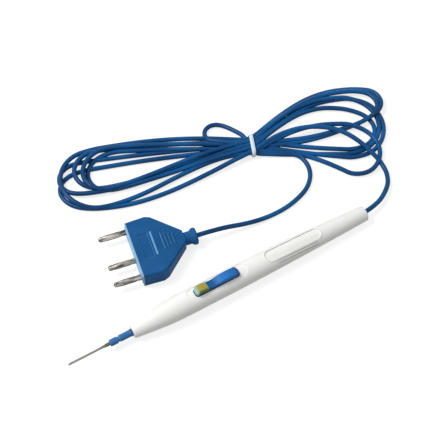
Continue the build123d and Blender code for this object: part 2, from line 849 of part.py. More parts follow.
with BuildPart() as plug_body:
    add(plug_blank.part)
    add(grip_ribs.part)
plug_body.part.label = "plug_body"
export_step(plug_body.part, "parts/plug_body.step")

pin_row_middle = (pin_spacing_wide + pin_spacing_narrow) / 2
pin_places = {
    "active_pin": pin_row_offset - pin_row_middle,
    "cut_pin": pin_row_offset - pin_row_middle + pin_spacing_wide,
    "coag_pin": pin_row_offset + pin_row_middle,
}
root_radius = pin_core_diameter / 2

with BuildPart() as pin_carrier:
    with BuildSketch(plug_cross(face_place - carrier_depth)):
        RectangleRounded(carrier_width, carrier_height, carrier_corner_radius)
    extrude(amount=carrier_depth + carrier_lip)
    with BuildSketch(plug_cross(face_place + carrier_lip - pin_root_length)):
        with Locations(*[(place, 0) for place in pin_places.values()]):
            Circle(root_radius)
    extrude(amount=pin_root_length, mode=Mode.SUBTRACT)
pin_carrier.part.label = "pin_carrier"
export_step(pin_carrier.part, "parts/pin_carrier.step")

# Each pin: a turned core with a collar and a round head, and a barrel of leaf springs between them.
pin_front = face_place + carrier_lip
leaf_start = pin_front + pin_collar_length
leaf_end = pin_front + pin_length - pin_head_length
for name, place in pin_places.items():
    pin_plane = Plane(
        origin=plug_plane.from_local_coords((0, place, plug_axis_height)),
        x_dir=plug_plane.x_dir,
        z_dir=-plug_plane.y_dir,
    )
    pin_axis = Axis(pin_plane.origin, plug_plane.x_dir)
    with BuildPart() as pin:
        with BuildSketch(pin_plane):
            with BuildLine():
                Polyline(
                    (pin_front + pin_length - pin_head_diameter / 2, pin_head_diameter / 2),
                    (leaf_end, pin_head_diameter / 2),
                    (leaf_end, root_radius),
                    (leaf_start, root_radius),
                    (leaf_start, pin_diameter / 2),
                    (pin_front, pin_diameter / 2),
                    (pin_front, root_radius),
                    (pin_front - pin_root_length, root_radius),
                    (pin_front - pin_root_length, 0),
                    (pin_front + pin_length, 0),
                )
                RadiusArc(
                    (pin_front + pin_length, 0),
                    (pin_front + pin_length - pin_head_diameter / 2, pin_head_diameter / 2),
                    -pin_head_diameter / 2,
                )
            make_face()
        revolve(axis=pin_axis)
    pin.part.label = name
    export_step(pin.part, f"parts/{name}.step")

    leaf_middle = (leaf_start + leaf_end) / 2
    leaf_inner_end = leaf_end_diameter / 2 - leaf_thickness
    with BuildPart() as leaves:
        with BuildSketch(pin_plane):
            with BuildLine():
                Polyline(
                    (leaf_start, leaf_end_diameter / 2),
                    (leaf_start + leaf_taper_length, pin_diameter / 2),
                    (leaf_end - leaf_taper_length, pin_diameter / 2),
                    (leaf_end, leaf_end_diameter / 2),
                    (leaf_end, leaf_inner_end),
                    (leaf_end - leaf_taper_length, pin_diameter / 2 - leaf_thickness),
                    (leaf_start + leaf_taper_length, pin_diameter / 2 - leaf_thickness),
                    (leaf_start, leaf_inner_end),
                    close=True,
                )
            make_face()
        revolve(axis=pin_axis)
        slot_span = leaf_end - leaf_start - 2 * leaf_slot_margin
        for i in range(leaf_slot_count // 2):
            turned = pin_plane.rotated((360 / leaf_slot_count * i, 0, 0))
            with BuildSketch(turned):
                with Locations((leaf_middle, 0)):
                    SlotOverall(slot_span, leaf_slot_width)
            extrude(amount=pin_diameter, both=True, mode=Mode.SUBTRACT)
    spring_name = name.replace("_pin", "_pin_spring")
    leaves.part.label = spring_name
    export_step(leaves.part, f"parts/{spring_name}.step")


def hank_point(along, across):
    """A place on the floor from its distance along and across the tied hank."""
    turn = math.radians(hank_turn)
    return (
        hank_place[0] + along * math.cos(turn) - across * math.sin(turn),
        hank_place[1] + along * math.sin(turn) + across * math.cos(turn),
    )


# Cord leads: straight runs with tangent arcs, points chosen by hand.
handle_lead_points = [
    (cord_end_x, 0, tail_axis_height),
    (117.6, 0, tail_axis_height),
    (135.0, 10.2, 2.6),
    (141.0, 19.6, 1.65),
    (142.2, 28.2, 1.9),
]
plug_lead_points = [
    (plug_place[0], plug_place[1], plug_axis_height),
    (19.6, 36.9, plug_axis_height),
    (36.5, 33.0, 3.6),
    (52.0, 31.0, 1.65),
    (66.5, 31.0, 1.65),
    (78.5, 33.6, 1.65),
    (88.0, 37.6, 1.65),
    (95.2, 44.8, 1.65),
    (98.2, 53.6, 1.65),
    (96.6, 63.2, 1.9),
]


def corner_radii(points):
    """The largest arcs that each corner's two runs allow."""
    radii = []
    for before, corner, after in zip(points, points[1:], points[2:]):
        run_in = Vector(*corner) - Vector(*before)
        run_out = Vector(*after) - Vector(*corner)
        half_turn = math.radians(run_in.get_angle(run_out)) / 2
        radii.append(run_share * min(run_in.length, run_out.length) / math.tan(half_turn))
    return radii


def cord_tube(name, points):
    """One lead of the cord as a plain tube, with its arcs and volume told."""
    radii = corner_radii(points)
    with BuildPart() as tube:
        with BuildLine() as path:
            FilletPolyline(*points, radius=radii)
        start = Vector(*points[0])
        with BuildSketch(Plane(origin=start, z_dir=Vector(*points[1]) - start)):
            Circle(cord_diameter / 2)
        sweep()
    length = sum(edge.length for edge in path.edges())
    section = math.pi * cord_diameter**2 / 4
    print(name, "radii", [round(r, 1) for r in radii], "length", round(length, 1))
    print(name, "volume share of section times length", round(tube.part.volume / (section * length), 4))
    tube.part.label = name
    export_step(tube.part, f"parts/{name}.step")


cord_tube("handle_lead", handle_lead_points)
cord_tube("plug_lead", plug_lead_points)

# The tied hank as one plain solid with a stub that meets each lead, and the band round its waist.
left_lobe = [(-112.0, -21.0, 20.5), (-98.0, -37.0, 12.5), (-66.0, -4.0, 12.0), (0.0, 0.0, 8.0)]
stray_lobe = [(-24.0, 9.0, 8.5), (0.0, 0.0, 8.0)]
upper_lobe = [(0.0, 0.0, 8.0), (40.0, 28.0, 14.0), (73.0, 36.0, 15.5), (82.0, 14.0, 11.0), (40.0, 5.0, 8.5)]
lower_lobe = [(40.0, 5.0, 8.5), (82.0, 14.0, 11.0), (74.0, -12.0, 13.0)]
hank_plane = Plane(
    origin=(hank_place[0], hank_place[1], 0),
    x_dir=Vector(1, 0, 0).rotate(Axis.Z, hank_turn),
    z_dir=(0, 0, 1),
)
hank_cross = Plane(
    origin=hank_plane.from_local_coords((-tie_width / 2, 0, hank_height / 2)),
    x_dir=hank_plane.y_dir,
    z_dir=hank_plane.x_dir,
)


def lead_stub(points):
    """A short length of cord that runs on from a lead's end into the hank."""
    end = Vector(*points[-1])
    heading = (end - Vector(*points[-2])).normalized()
    with BuildPart() as stub:
        with BuildSketch(Plane(origin=end, z_dir=heading)):
            Circle(cord_diameter / 2)
        extrude(amount=stub_length)
    return stub.part


with BuildPart() as cord_hank:
    for lobe in (left_lobe, stray_lobe, upper_lobe, lower_lobe):
        with BuildSketch(hank_plane):
            with BuildLine():
                for along, across, radius in lobe:
                    CenterArc((along, across), radius, 0, 360)
            make_hull()
        extrude(amount=hank_height)
    with BuildSketch(hank_cross):
        Rectangle(2 * grip_width, 2 * hank_height)
        RectangleRounded(
            hank_waist_width,
            hank_height - 2 * (tie_thickness + tie_gap),
            tie_corner_radius - tie_thickness,
            mode=Mode.SUBTRACT,
        )
    extrude(amount=tie_width, mode=Mode.SUBTRACT)
    for points in (handle_lead_points, plug_lead_points):
        add(lead_stub(points))
cord_hank.part.label = "cord_hank"
export_step(cord_hank.part, "parts/cord_hank.step")

band_width = hank_waist_width + 2 * (tie_gap + tie_thickness)
with BuildPart() as twist_tie:
    with BuildSketch(hank_cross):
        RectangleRounded(band_width, hank_height, tie_corner_radius)
        RectangleRounded(
            hank_waist_width + 2 * tie_gap,
            hank_height - 2 * tie_thickness,
            tie_corner_radius - tie_thickness,
            mode=Mode.SUBTRACT,
        )
    extrude(amount=tie_width)
twist_tie.part.label = "twist_tie"
export_step(twist_tie.part, "parts/twist_tie.step")
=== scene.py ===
# %% [markdown]
# An electrosurgical pencil on a pale table: a white handle with a rocker switch and a blade
# electrode, over three metres of blue cord tied in a hank, and a flat three-pin plug. The rigid
# pieces come from the CAD model with their sizes and places. This script gives them light, a
# camera and finishes, lays the cord as one smooth spline and models the soft tie round it.

import math

import bmesh
import bpy
from mathutils import Matrix, Vector


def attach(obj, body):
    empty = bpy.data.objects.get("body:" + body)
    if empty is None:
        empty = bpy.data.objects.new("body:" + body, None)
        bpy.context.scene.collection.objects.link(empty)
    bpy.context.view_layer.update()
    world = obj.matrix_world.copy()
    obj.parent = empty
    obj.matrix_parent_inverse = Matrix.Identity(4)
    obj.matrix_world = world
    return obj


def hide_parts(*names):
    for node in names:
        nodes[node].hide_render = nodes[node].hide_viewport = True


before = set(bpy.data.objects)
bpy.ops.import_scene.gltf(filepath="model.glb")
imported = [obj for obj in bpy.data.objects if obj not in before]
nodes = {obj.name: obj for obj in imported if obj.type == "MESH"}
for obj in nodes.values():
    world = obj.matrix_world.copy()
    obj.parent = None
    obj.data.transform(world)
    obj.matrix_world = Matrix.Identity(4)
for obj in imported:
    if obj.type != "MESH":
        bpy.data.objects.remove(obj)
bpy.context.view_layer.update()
MM = 0.001

# %% [markdown]
# The camera looks down on the table at sixty degrees, from the side of the pencil's blade. It
# could be pushed about by hand until it looks right. Here it stands on an arm from a point of the
# table, with a turn, a rise and a reach, because each of the three can be compared with the
# photograph by itself. A long lens keeps the perspective flat, as in a product picture.

# %% Camera
VIEW_TURN = math.radians(-29.9)
VIEW_RISE = math.radians(60.0)
VIEW_REACH = 745.0 * MM
VIEW_TARGET = Vector((25.0, 42.4, 0.0)) * MM
LENS_LENGTH = 90.0
SENSOR_WIDTH = 36.0
NEAREST_SEEN = 10.0 * MM

camera_back = Vector((
    math.sin(VIEW_TURN) * math.cos(VIEW_RISE),
    -math.cos(VIEW_TURN) * math.cos(VIEW_RISE),
    math.sin(VIEW_RISE),
))
camera_data = bpy.data.cameras.new("table_camera")
camera_data.lens = LENS_LENGTH
camera_data.sensor_width = SENSOR_WIDTH
camera_data.clip_start = NEAREST_SEEN
camera = bpy.data.objects.new("table_camera", camera_data)
camera.location = VIEW_TARGET + camera_back * VIEW_REACH
camera.rotation_euler = (-camera_back).to_track_quat("-Z", "Y").to_euler()
bpy.context.scene.collection.objects.link(camera)
bpy.context.scene.camera = camera
print("camera at", [round(c, 4) for c in camera.location])

# %% [markdown]
# The cord is one length of wire from the handle to the plug. Real hanks are wound to and fro
# through the tie, so each half turn runs out along one side, rounds its end and comes back along
# the other. Its places could be typed as points of the table. Distances along and across from the
# tie are easier to read and to change, so they are given that way and a function turns them into
# points. The first such places are the fourteen slots in the tie.

# %% Places in the tied hank
# Places of the cord are in millimetres until its spline is made.
HANK_TURN = math.radians(-29.9)
HANK_PLACE = (71.9, 84.3)


def hank_point(along, across, height):
    """A point of the hank, from its distances along and across from the tie, in millimetres."""
    x = HANK_PLACE[0] + along * math.cos(HANK_TURN) - across * math.sin(HANK_TURN)
    y = HANK_PLACE[1] + along * math.sin(HANK_TURN) + across * math.cos(HANK_TURN)
    return (x, y, height)


# Where the strands pass through the tie: distance across and height.
TIE_SLOTS = {
    "top_1": (-5.6, 5.6),
    "top_2": (-2.8, 5.6),
    "top_3": (0.0, 5.6),
    "top_4": (2.8, 5.6),
    "top_5": (5.6, 5.6),
    "side_low": (-6.2, 4.0),
    "middle_1": (-3.4, 4.0),
    "middle_2": (0.0, 4.0),
    "middle_3": (3.4, 4.0),
    "side_high": (6.2, 4.0),
    "bottom_1": (-5.4, 2.4),
    "bottom_2": (-1.8, 2.4),
    "bottom_3": (1.8, 2.4),
    "bottom_4": (5.4, 2.4),
}
print("strands through the tie", len(TIE_SLOTS))

# %% [markdown]
# Turns that are wound by hand differ in reach and width, and fan out where nothing ties them. One
# formula for all of them would look like a spring, and a list of every point would be long and
# hard to change. A table with a row of sizes for each half turn keeps them uneven, and two
# functions lay the strands and the round end of a row.

# %% Sizes of the half turns
# Reach, place across of the strand going out and of the one coming back, how far the first bows to
# the side near the tie and near the end and how far the second bows, how far the end leans back,
# the tie slots that it leaves from and returns to, and its heights out, at the end and back.
HALF_TURNS = [
    (-130.0, -48.5, -21.0, (-5.0, -18.0), 2.6, -2.0, "top_1", "bottom_2", (1.7, 1.7, 1.7)),
    (89.0, -25.0, 17.0, (7.0, 7.0), 9.0, 0.0, "bottom_2", "side_low", (1.7, 3.0, 5.2)),
    (-130.0, -49.5, -4.5, (15.0, -16.5), 5.2, -2.5, "side_low", "bottom_4", (2.4, 4.6, 3.4)),
    (86.6, -1.8, 30.4, (-1.5, -1.5), 16.4, 0.0, "bottom_4", "top_2", (1.8, 2.0, 2.2)),
    (-132.0, -39.5, -13.5, (2.5, -9.5), 1.6, 0.0, "top_2", "bottom_3", (3.4, 3.0, 1.8)),
    (93.2, -9.0, 42.0, (-1.0, -1.0), 12.4, 0.0, "bottom_3", "top_3", (1.8, 2.0, 1.8)),
    (-114.0, -36.5, -5.0, (6.0, -6.0), 1.8, 2.0, "top_3", "middle_1", (1.8, 2.2, 3.2)),
    (90.0, -5.4, 41.0, (-1.0, -1.0), 11.8, 0.0, "middle_1", "top_5", (1.8, 2.4, 3.9)),
    (-123.0, -35.5, -4.0, (2.0, -10.0), 2.0, 2.0, "top_5", "middle_3", (3.2, 5.2, 3.0)),
    (89.2, 21.0, 46.6, (-5.0, -5.0), 13.6, 0.0, "middle_3", "top_4", (3.4, 5.0, 4.4)),
    (-118.0, -38.0, -2.0, (7.5, -4.5), 2.0, 4.0, "top_4", "middle_2", (4.6, 6.2, 4.6)),
    (92.2, 24.0, 49.4, (-6.0, -6.0), 14.6, 0.0, "middle_2", "side_high", (2.2, 4.2, 2.4)),
]
print("half turns", len(HALF_TURNS))

# %% Points of a half turn
# Where the points lie on a strand, as shares of its length, and on an end, as shares of its half
# width from its middle.
STRAND_SHARES = (0.08, 0.24, 0.44, 0.64, 0.82, 0.94)
END_SHARES = (-0.8, -0.3, 0.3, 0.8)
# An end is as deep as this share of its half width, and this much more.
END_DEPTH_SHARE = 0.65
END_DEPTH_BASE = 6.5
# A strand goes from its slot's height to its own within this share of its length.
DESCENT_SHARE = 0.3


def strand(end_across, bows, slot, height, inner):
    """Points of one strand from the tie to the start of its end."""
    slot_across, slot_height = slot
    bow_by_tie, bow_by_end = bows
    points = []
    for share in STRAND_SHARES:
        bow = (bow_by_tie * (1 - share) + bow_by_end * share) * math.sin(math.pi * share)
        across = slot_across * (1 - share) + end_across * share + bow
        descent = min(1.0, share / DESCENT_SHARE)
        level = slot_height + (height - slot_height) * descent
        points.append((inner * share / STRAND_SHARES[-1], across, level))
    return points


def half_turn(reach, out_across, back_across, out_bows, back_bow, lean, leave, enter, heights):
    """Points of one half turn: from the tie along one strand, round the end and back."""
    side = math.copysign(1.0, reach)
    middle, half = (out_across + back_across) / 2, (back_across - out_across) / 2
    depth = abs(half) * END_DEPTH_SHARE + END_DEPTH_BASE
    inner = abs(reach) - depth
    points = [(0.0, *TIE_SLOTS[leave])]
    points += strand(out_across, out_bows, TIE_SLOTS[leave], heights[0], inner)
    for share in END_SHARES:
        along = abs(reach) - depth * (1 - math.sqrt(1 - share * share)) - lean * (1 + share) / 2
        points.append((along, middle + share * half, heights[1]))
    back_bows = (back_bow, back_bow)
    points += reversed(strand(back_across, back_bows, TIE_SLOTS[enter], heights[2], inner - lean))
    return [hank_point(side * along, across, height) for along, across, height in points]


print("points in a half turn", len(half_turn(*HALF_TURNS[0])))

# %% [markdown]
# The route is the whole cord from end to end: out of the handle's tail and over the right turns to
# the tie, through the half turns, round one short stray loop beside the tie, and out to the plug.
# The leads and the loop bend only a few times, so their points are listed one by one, where the
# cord turns or climbs over a strand. The two leads have the points of the CAD model's plain tubes.

# %% The whole route
HANDLE_LEAD = [
    (97.3, 0, 5.2),
    (117.6, 0, 5.2),
    (135.0, 10.2, 2.6),
    (141.0, 19.6, 1.65),
    (142.2, 28.2, 1.9),
]
LEAD_OVER_TURNS = [
    (86.8, -11.0, 3.4),
    (82.0, -6.0, 5.0),
    (75.5, 0.8, 6.2),
    (67.5, 7.2, 6.9),
    (58.0, 12.2, 7.0),
    (46.0, 14.6, 6.6),
    (33.0, 13.6, 6.2),
    (20.0, 8.8, 6.0),
    (9.0, 1.6, 5.7),
]
STRAY_LOOP = [
    (-8.0, -1.0, 4.4),
    (-17.0, 1.4, 6.0),
    (-24.5, 3.0, 5.2),
    (-29.8, 4.4, 3.9),
    (-33.0, 8.5, 2.9),
    (-33.1, 13.8, 2.2),
    (-29.9, 18.0, 1.8),
    (-24.8, 19.3, 1.9),
    (-18.8, 17.4, 2.4),
    (-11.5, 12.6, 3.4),
    (-5.0, 8.0, 3.6),
]
LEAD_FROM_TIE = [(12.0, -5.8, 2.3), (22.0, -6.0, 2.0)]
PLUG_LEAD = [
    (3.1, 39.9, 7.0),
    (19.6, 36.9, 7.0),
    (36.5, 33.0, 3.6),
    (52.0, 31.0, 1.65),
    (66.5, 31.0, 1.65),
    (78.5, 33.6, 1.65),
    (88.0, 37.6, 1.65),
    (95.2, 44.8, 1.65),
    (98.2, 53.6, 1.65),
    (96.6, 63.2, 1.9),
]

route = list(HANDLE_LEAD)
route += [hank_point(*point) for point in LEAD_OVER_TURNS]
for turn in HALF_TURNS:
    route += half_turn(*turn)
route.append(hank_point(0.0, *TIE_SLOTS["side_high"]))
route += [hank_point(*point) for point in STRAY_LOOP]
route.append(hank_point(0.0, *TIE_SLOTS["bottom_1"]))
route += [hank_point(*point) for point in LEAD_FROM_TIE]
route += PLUG_LEAD[::-1]
print("route points", len(route))

# %% [markdown]
# The cord's jacket is an even round tube. It could be a mesh swept along the route, but a NURBS
# curve with the route as its control points makes a line without kinks that stays easy to change,
# and Blender gives it its thickness. Each point's radius holds that thickness here, with a bevel
# depth of one, because Blender adds the points' radius to a curve's box.

# %% The cord's spline
CORD_DIAMETER = 3.3 * MM
STEPS_PER_POINT = 8
ROUNDNESS = 4

cord_curve = bpy.data.curves.new("cord", "CURVE")
cord_curve.dimensions = "3D"
cord_curve.resolution_u = STEPS_PER_POINT
cord_curve.bevel_depth = 1.0
cord_curve.bevel_resolution = ROUNDNESS
cord_curve.use_fill_caps = True
cord_line = cord_curve.splines.new("NURBS")
cord_line.points.add(len(route) - 1)
for point, place in zip(cord_line.points, route):
    point.co = (place[0] * MM, place[1] * MM, place[2] * MM, 1.0)
    point.radius = CORD_DIAMETER / 2
cord_line.order_u = 3
cord_line.use_endpoint_u = True
cord = bpy.data.objects.new("cord", cord_curve)
bpy.context.scene.collection.objects.link(cord)


def line_length(curve):
    """Length of a curve's own line, read from a copy without its thickness."""
    bare = curve.copy()
    bare.bevel_depth = 0.0
    holder = bpy.data.objects.new("bare_line", bare)
    mesh = bpy.data.meshes.new_from_object(holder)
    places = [vertex.co.copy() for vertex in mesh.vertices]
    bpy.data.objects.remove(holder)
    bpy.data.curves.remove(bare)
    bpy.data.meshes.remove(mesh)
    return sum((b - a).length for a, b in zip(places, places[1:]))


print("cord length", round(line_length(cord_curve), 4))

# %% [markdown]
# The tie is a flat white ribbon with a wire along its middle, closed round the fourteen strands.
# It could be a bent ring, but the bundle is wider than it is high, and a ring would stand away
# from its corners. So the ribbon starts as a block of the bundle's size, a bevel rounds its long
# edges, its ends are taken off so that only the sleeve is left, and solidify gives the ribbon its
# thickness.

# %% The ribbon's sleeve
TIE_WIDTH = 2.6 * MM
TIE_SPAN = 17.2 * MM
TIE_HEIGHT = 8.0 * MM
TIE_THICKNESS = 0.8 * MM
TIE_CORNER = 3.7 * MM
CORNER_STEPS = 6
RIDGE_HALF_WIDTH = 0.45 * MM
# How much of a normal points along the strands on a face that closes the sleeve.
END_FACING = 0.9

band = bmesh.new()
bmesh.ops.create_cube(band, size=1.0)
inner_span = TIE_SPAN - 2 * TIE_THICKNESS
inner_height = TIE_HEIGHT - 2 * TIE_THICKNESS
bmesh.ops.scale(band, vec=(TIE_WIDTH, inner_span, inner_height), verts=band.verts)
long_edges = [e for e in band.edges if abs(e.verts[0].co.x - e.verts[1].co.x) > TIE_WIDTH / 2]
bmesh.ops.bevel(
    band, geom=long_edges, offset=TIE_CORNER - TIE_THICKNESS, segments=CORNER_STEPS,
    profile=0.5, affect="EDGES", material=-1,
)
end_faces = [f for f in band.faces if abs(f.normal.x) > END_FACING]
bmesh.ops.delete(band, geom=end_faces, context="FACES")
for cut in (-RIDGE_HALF_WIDTH, RIDGE_HALF_WIDTH):
    bmesh.ops.bisect_plane(
        band, geom=band.verts[:] + band.edges[:] + band.faces[:], plane_co=(cut, 0, 0),
        plane_no=(1, 0, 0),
    )
bmesh.ops.recalc_face_normals(band, faces=band.faces)
bmesh.ops.solidify(band, geom=band.faces[:], thickness=-TIE_THICKNESS)
bmesh.ops.recalc_face_normals(band, faces=band.faces)
print("sleeve faces", len(band.faces))

# %% [markdown]
# The wire shows as a low ridge along the ribbon's outer side. A bump in the finish would vanish at
# the ribbon's outline, so the ridge is real: the faces between the two cuts are extruded and moved
# outwards. The ribbon is then set round the hank a little askew, as one twisted on by hand is.

# %% The wire's ridge
RIDGE_RISE = 0.25 * MM
TIE_LEAN = math.radians(9.0)
SOFT_EDGE = 0.18 * MM
SOFT_EDGE_STEPS = 2
# How much of a normal may point along the strands on a face of the ribbon's flat sides.
SIDE_FACING = 0.1


def tie_matrix():
    """Takes a piece made at the origin to its place round the hank, a little askew."""
    place = Vector((HANK_PLACE[0] * MM, HANK_PLACE[1] * MM, TIE_HEIGHT / 2 + RIDGE_RISE))
    return Matrix.Translation(place) @ Matrix.Rotation(HANK_TURN + TIE_LEAN, 4, "Z")


def object_from(name, builder):
    """A mesh object at the origin, made from a bmesh."""
    mesh = bpy.data.meshes.new(name)
    builder.to_mesh(mesh)
    builder.free()
    made = bpy.data.objects.new(name, mesh)
    bpy.context.scene.collection.objects.link(made)
    return made


ridge_faces = [
    f for f in band.faces
    if abs(f.calc_center_median().x) < RIDGE_HALF_WIDTH
    and abs(f.normal.x) < SIDE_FACING and f.normal.dot(f.calc_center_median()) > 0
]
raised = bmesh.ops.extrude_face_region(band, geom=ridge_faces)
ridge_verts = [v for v in raised["geom"] if isinstance(v, bmesh.types.BMVert)]
bmesh.ops.delete(band, geom=ridge_faces, context="FACES")
for vertex in ridge_verts:
    vertex.co += Vector((0.0, vertex.co.y, vertex.co.z)).normalized() * RIDGE_RISE
bmesh.ops.transform(band, matrix=tie_matrix(), verts=band.verts)
bmesh.ops.recalc_face_normals(band, faces=band.faces)
for face in band.faces:
    face.smooth = True
tie_band = object_from("tie_band", band)
edge_round = tie_band.modifiers.new("soft_edges", "BEVEL")
edge_round.width = SOFT_EDGE
edge_round.segments = SOFT_EDGE_STEPS
edge_round.limit_method = "ANGLE"
print("tie faces", len(tie_band.data.polygons))

# %% [markdown]
# The cord hangs on the handle, so the cord and its tie ride on the handle's body and move with it.
# The cord takes the place of the three plain CAD solids that stand for it, and the ribbon that of
# the plain tie.

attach(cord, "handle")
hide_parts("handle_lead", "plug_lead", "cord_hank")
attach(tie_band, "handle")
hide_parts("twist_tie")

# %% [markdown]
# Shared effects are shader node groups: each is built once, with named inputs, and every finish
# places it with its own values. Nodes could also be copied from finish to finish, but then a
# change has to be made in each. The groups put out only colours, values and normals, and the
# shaders stay in the materials. A few helpers keep the groups short to read.

# %% Helpers for nodes
# A Mix node's colour sockets are called by their places, because its sockets share their names.
MIX_FIRST, MIX_SECOND, MIX_RESULT = 6, 7, 2
NODE_STEP = 240.0


def new_group(name, inputs, outputs):
    """A node group with named inputs and outputs, and its two end nodes."""
    group = bpy.data.node_groups.new(name, "ShaderNodeTree")
    for label, kind, value in inputs:
        socket = group.interface.new_socket(name=label, in_out="INPUT", socket_type=kind)
        socket.default_value = value
    for label, kind in outputs:
        group.interface.new_socket(name=label, in_out="OUTPUT", socket_type=kind)
    return group, group.nodes.new("NodeGroupInput"), group.nodes.new("NodeGroupOutput")


def link(tree, source, source_socket, target, target_socket):
    """One link between two nodes of a tree."""
    tree.links.new(source.outputs[source_socket], target.inputs[target_socket])


def operation(tree, kind, what):
    """A Math or Vector Math node set to one operation."""
    node = tree.nodes.new(kind)
    node.operation = what
    return node


def value_range(tree, low, high):
    """A node that is zero at the low value and one at the high value."""
    node = tree.nodes.new("ShaderNodeMapRange")
    node.inputs["From Min"].default_value = low
    node.inputs["From Max"].default_value = high
    return node


def colour_mix(tree):
    """A Mix node for colours."""
    mix = tree.nodes.new("ShaderNodeMix")
    mix.data_type = "RGBA"
    return mix


def lay_out(tree):
    """Sets a tree's nodes side by side in the shader editor."""
    for place, node in enumerate(tree.nodes):
        node.location = (place * NODE_STEP, 0.0)


print("mix sockets", MIX_FIRST, MIX_SECOND, MIX_RESULT)

# %% [markdown]
# The moulded pieces and the drawn metal both take two colours and a roughness from a noise. It
# could be painted as an image, but a noise on the object's own coordinates is sharp from any
# distance and needs no picture. These two helpers turn a noise into the colour, the roughness and
# the height that a surface group puts out.

# %% Colour, roughness and height from a noise
SURFACE_OUTPUTS = [
    ("Colour", "NodeSocketColor"), ("Roughness", "NodeSocketFloat"), ("Height", "NodeSocketFloat"),
]
# A noise seldom leaves its middle range, so the colours change over within it.
NOISE_LOW, NOISE_HIGH = 0.35, 0.65


def noise_colour(group, group_in, group_out, noise, second_colour):
    """Mixes a group's two colours by a noise."""
    mask = value_range(group, NOISE_LOW, NOISE_HIGH)
    link(group, noise, "Fac", mask, "Value")
    mix = colour_mix(group)
    link(group, mask, "Result", mix, "Factor")
    link(group, group_in, "Colour", mix, MIX_FIRST)
    link(group, group_in, second_colour, mix, MIX_SECOND)
    link(group, mix, MIX_RESULT, group_out, "Colour")


def noise_relief(group, group_in, group_out, noise):
    """Adds a noise's share to a group's roughness, and puts the noise out as its height."""
    spread = operation(group, "ShaderNodeMath", "MULTIPLY_ADD")
    link(group, noise, "Fac", spread, 0)
    link(group, group_in, "Roughness Spread", spread, 1)
    link(group, group_in, "Roughness", spread, 2)
    link(group, spread, "Value", group_out, "Roughness")
    link(group, noise, "Fac", group_out, "Height")


print("a surface group puts out", [label for label, kind in SURFACE_OUTPUTS])

# %% [markdown]
# Moulded plastic has broad faint patches where the melt flowed, and a fine grain from its mould.
# On the cord the patches are strong and also stand in for painted highlights and painted shade.
# One noise can't be both, so this group has a wide one for the colour and a fine one for roughness
# and relief, each with its own scale.

# %% Node group: moulded surface
PATCH_DETAIL = 3.0
GRAIN_DETAIL = 2.0

moulded, group_in, group_out = new_group("moulded_surface", [
    ("Colour", "NodeSocketColor", (0.8, 0.8, 0.8, 1)),
    ("Patch Colour", "NodeSocketColor", (0.7, 0.7, 0.7, 1)),
    ("Patch Scale", "NodeSocketFloat", 60.0),
    ("Grain Scale", "NodeSocketFloat", 2400.0),
    ("Roughness", "NodeSocketFloat", 0.4),
    ("Roughness Spread", "NodeSocketFloat", 0.1),
], SURFACE_OUTPUTS)
coordinates = moulded.nodes.new("ShaderNodeTexCoord")
patch_noise = moulded.nodes.new("ShaderNodeTexNoise")
grain = moulded.nodes.new("ShaderNodeTexNoise")
for noise, scale, detail in (
    (patch_noise, "Patch Scale", PATCH_DETAIL),
    (grain, "Grain Scale", GRAIN_DETAIL),
):
    noise.inputs["Detail"].default_value = detail
    link(moulded, coordinates, "Object", noise, "Vector")
    link(moulded, group_in, scale, noise, "Scale")
noise_colour(moulded, group_in, group_out, patch_noise, "Patch Colour")
noise_relief(moulded, group_in, group_out, grain)
lay_out(moulded)
print("group", moulded.name, "nodes", len(moulded.nodes))

# %% [markdown]
# Metal parts are drawn, turned or pressed, which leaves fine lines along their length. Scratches
# could be drawn as single lines, but a noise that is squeezed in two directions gives such lines
# everywhere at once. This group turns the coordinates to the piece's length, squeezes them, and
# takes colour, roughness and height from the same lines.

# %% Node group: drawn metal
LINE_DETAIL = 2.0

drawn, group_in, group_out = new_group("drawn_metal", [
    ("Colour", "NodeSocketColor", (0.6, 0.6, 0.6, 1)),
    ("Line Colour", "NodeSocketColor", (0.4, 0.4, 0.4, 1)),
    ("Turn", "NodeSocketFloat", 0.0),
    ("Stretch", "NodeSocketVector", (60.0, 3000.0, 3000.0)),
    ("Roughness", "NodeSocketFloat", 0.25),
    ("Roughness Spread", "NodeSocketFloat", 0.2),
], SURFACE_OUTPUTS)
coordinates = drawn.nodes.new("ShaderNodeTexCoord")
turned = drawn.nodes.new("ShaderNodeVectorRotate")
turned.rotation_type = "Z_AXIS"
link(drawn, coordinates, "Object", turned, "Vector")
link(drawn, group_in, "Turn", turned, "Angle")
squeezed = operation(drawn, "ShaderNodeVectorMath", "MULTIPLY")
link(drawn, turned, "Vector", squeezed, 0)
link(drawn, group_in, "Stretch", squeezed, 1)
lines = drawn.nodes.new("ShaderNodeTexNoise")
lines.inputs["Scale"].default_value = 1.0
lines.inputs["Detail"].default_value = LINE_DETAIL
link(drawn, squeezed, "Vector", lines, "Vector")
noise_colour(drawn, group_in, group_out, lines, "Line Colour")
noise_relief(drawn, group_in, group_out, lines)
lay_out(drawn)
print("group", drawn.name, "nodes", len(drawn.nodes))

# %% [markdown]
# No moulded edge is truly sharp, and a rounded edge catches the light. The edges of the CAD pieces
# could be rounded in the mesh, but their mesh isn't to be changed. This group finds the edges with
# Blender's Bevel node, which rounds the shading over a set width. It gives that soft normal, and a
# mask of how far it departs from the surface's own.

# %% Node group: soft edges
EDGE_SAMPLES = 6
# How far the soft normal agrees with the surface's own where the mask starts and where it is full.
EDGE_START, EDGE_FULL = 0.995, 0.9

